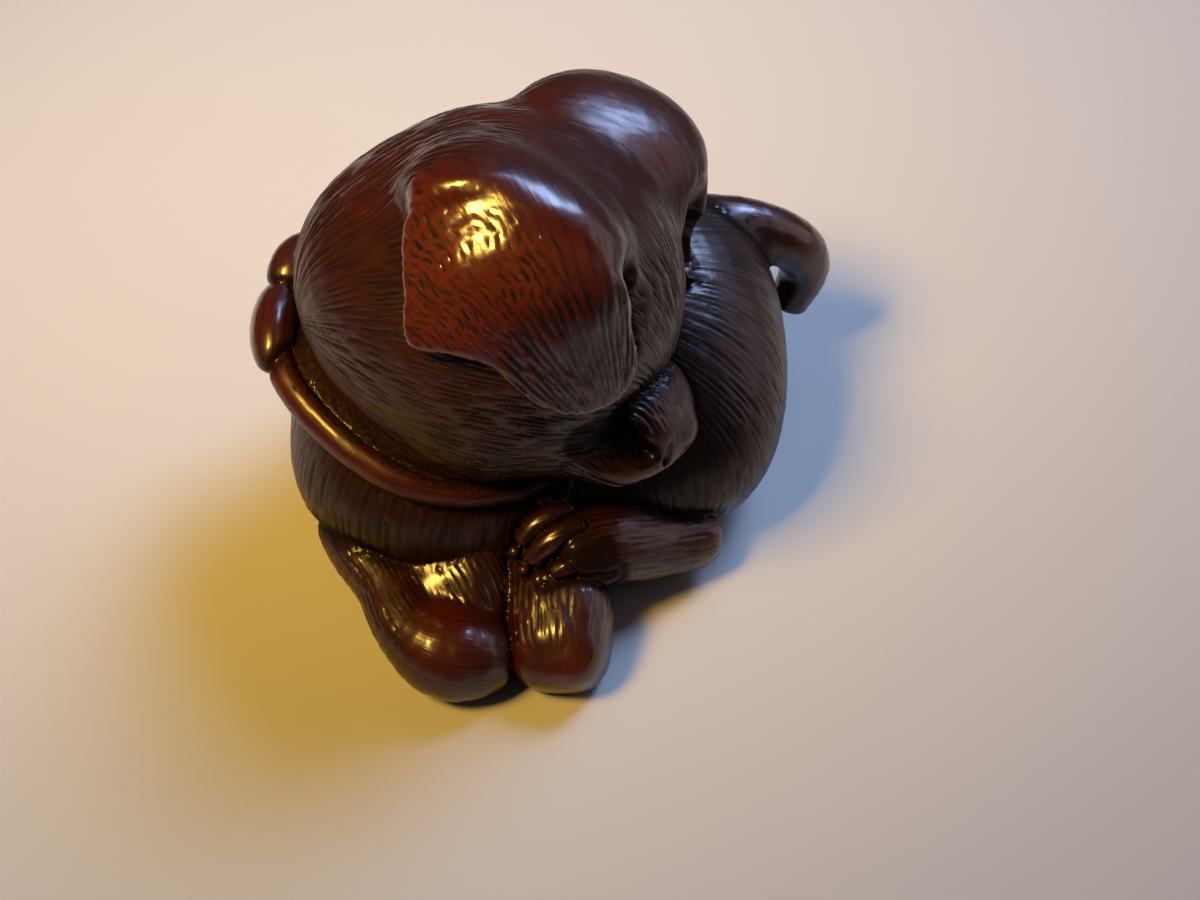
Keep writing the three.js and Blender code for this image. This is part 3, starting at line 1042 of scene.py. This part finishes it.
def boxwood():
    shader = wood.node_tree.nodes["Principled BSDF"]
    where = node("ShaderNodeTexCoord").outputs["Object"]
    along = node("ShaderNodeUVMap", uv_map="hair").outputs["UV"]
    groove, red, polish, shadeAndGrime, dustAndGlints = map(attribute, ("groove", "red", "polish", "shadeAndGrime", "dustAndGlints"))
    mottle = stretched(where, (1, 1, 1), finish["mottleSize"])
    fleck = stretched(where, (1, 1, 1), finish["fleckSize"], 2.0)
    thread = stretched(along, finish["threadScale"], 1.0, 2.0)
    carvedLine = maths("MULTIPLY", groove, finish["grooveStrength"])
    line = maths("MAXIMUM", carvedLine, times(thread, *finish["thread"]))
    lineShare = maths("MINIMUM", line, 1.0)

    colour = ramp(maths("ADD", red, times(mottle, *finish["mottle"])), finish["colours"])
    # the carved lines and threads are darkened, partly by dark stain in them and partly by painted shade
    colour = blend(maths("MULTIPLY", line, finish["lineStainAndShade"]), colour, finish["stainAndShadeInLines"])
    # painted shade, with some grime, darkens crevices, the collar gap and the hollow beside the muzzle
    colour = blend(maths("MULTIPLY", shadeAndGrime, finish["shadeAndGrimeDarkness"]), colour, finish["shadeAndGrimeColour"])
    # golden specks in the crevices: dust in part, painted glints of the warm lamp in part
    speck = times(times(fleck, *finish["fleck"]), *finish["dustAndGlintShare"])
    colour = blend(maths("MULTIPLY", dustAndGlints, speck), colour, finish["dustAndGlints"])
    feed(shader.inputs["Base Color"], colour)

    rough = finish["roughness"]
    roughness = times(polish, rough["polish"], times(mottle, rough["mottle"], rough["wood"]))
    roughness = times(shadeAndGrime, rough["shadeAndGrime"], times(lineShare, rough["line"], roughness))
    feed(shader.inputs["Roughness"], roughness)
    shine = finish["shine"]
    level = times(lineShare, shine["line"], times(polish, shine["polish"], shine["wood"]))
    level = maths("MAXIMUM", times(shadeAndGrime, shine["shadeAndGrime"], level), shine["least"])
    feed(shader.inputs["Specular IOR Level"], level)
    feed(shader.inputs["Coat Weight"], maths("MULTIPLY", polish, finish["coat"]))
    shader.inputs["Coat Roughness"].default_value = finish["coatRoughness"]
    shader.inputs["IOR"].default_value = finish["ior"]

    bump = finish["bump"]
    threads, flecks = maths("MULTIPLY", thread, bump["thread"]), maths("MULTIPLY", fleck, bump["fleck"])
    relief = node("ShaderNodeBump")
    feed(relief.inputs["Height"], maths("ADD", threads, flecks))
    feed(relief.inputs["Distance"], bump["height"])
    feed(relief.inputs["Strength"], bump["strength"])
    feed(shader.inputs["Normal"], relief.outputs[0])


boxwood()
puppy.data.materials.clear()
puppy.data.materials.append(wood)
print("wood finished with %d nodes" % len(wood.node_tree.nodes))

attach(puppy, "root")
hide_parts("puppy")


room = {
    "floor": 2.0,
    "paper": (0.31, 0.322, 0.305, 1),
    "paperRoughness": 0.9,
    "air": (1.0, 0.82, 0.74, 1),
    "airStrength": 0.05,
}
lights = {
    "lamp": {"at": (-0.138, -0.08, 0.254), "aim": (-0.01, 0.04, 0.01),
             "size": 0.07, "spread": 45, "power": 0.145, "colour": (1.0, 0.57, 0.1)},
    "window": {"at": (0.115, 0.164, 0.223), "aim": (-0.01, 0.045, 0.01),
               "size": 0.18, "spread": 45, "power": 0.205, "colour": (0.42, 0.58, 1.0)},
    "wall": {"at": (0.326, 0.046, 0.12), "aim": (0, 0, 0.01),
             "size": 0.25, "spread": 180, "power": 0.2, "colour": (1.0, 0.78, 0.85)},
}
view = {"at": (0.003155, -0.07907, 0.09959), "tilt": 40, "lens": 56.4, "sensor": 36, "from": 0.01}


def laidFloor():
    bpy.ops.mesh.primitive_plane_add(size=room["floor"])
    sheet = bpy.context.object
    sheet.name = "paperFloor"
    paper = bpy.data.materials.new("palePaper")
    paper.use_nodes = True
    shader = paper.node_tree.nodes["Principled BSDF"]
    shader.inputs["Base Color"].default_value = room["paper"]
    shader.inputs["Roughness"].default_value = room["paperRoughness"]
    sheet.data.materials.append(paper)
    return sheet


def lit():
    world = bpy.data.worlds.new("room")
    bpy.context.scene.world = world
    world.use_nodes = True
    background = world.node_tree.nodes["Background"]
    background.inputs["Color"].default_value = room["air"]
    background.inputs["Strength"].default_value = room["airStrength"]
    for name, value in lights.items():
        lamp = bpy.data.lights.new(name, "AREA")
        lamp.size = value["size"]
        lamp.energy = value["power"]
        lamp.color = value["colour"]
        lamp.spread = math.radians(value["spread"])
        holder = bpy.data.objects.new(name, lamp)
        holder.location = value["at"]
        towards = Vector(np.array(value["aim"]) - np.array(value["at"]))
        holder.rotation_euler = towards.to_track_quat("-Z", "Y").to_euler()
        bpy.context.scene.collection.objects.link(holder)


def filmed():
    camera = bpy.data.cameras.new("camera")
    camera.lens = view["lens"]
    camera.sensor_width = view["sensor"]
    camera.clip_start = view["from"]
    viewer = bpy.data.objects.new("camera", camera)
    viewer.location = view["at"]
    viewer.rotation_euler = (math.radians(view["tilt"]), 0, 0)
    bpy.context.scene.collection.objects.link(viewer)
    bpy.context.scene.camera = viewer


floor = laidFloor()
lit()
filmed()
bpy.context.scene.view_settings.view_transform = "Standard"
print("floor, %d lights and camera placed" % len(lights))
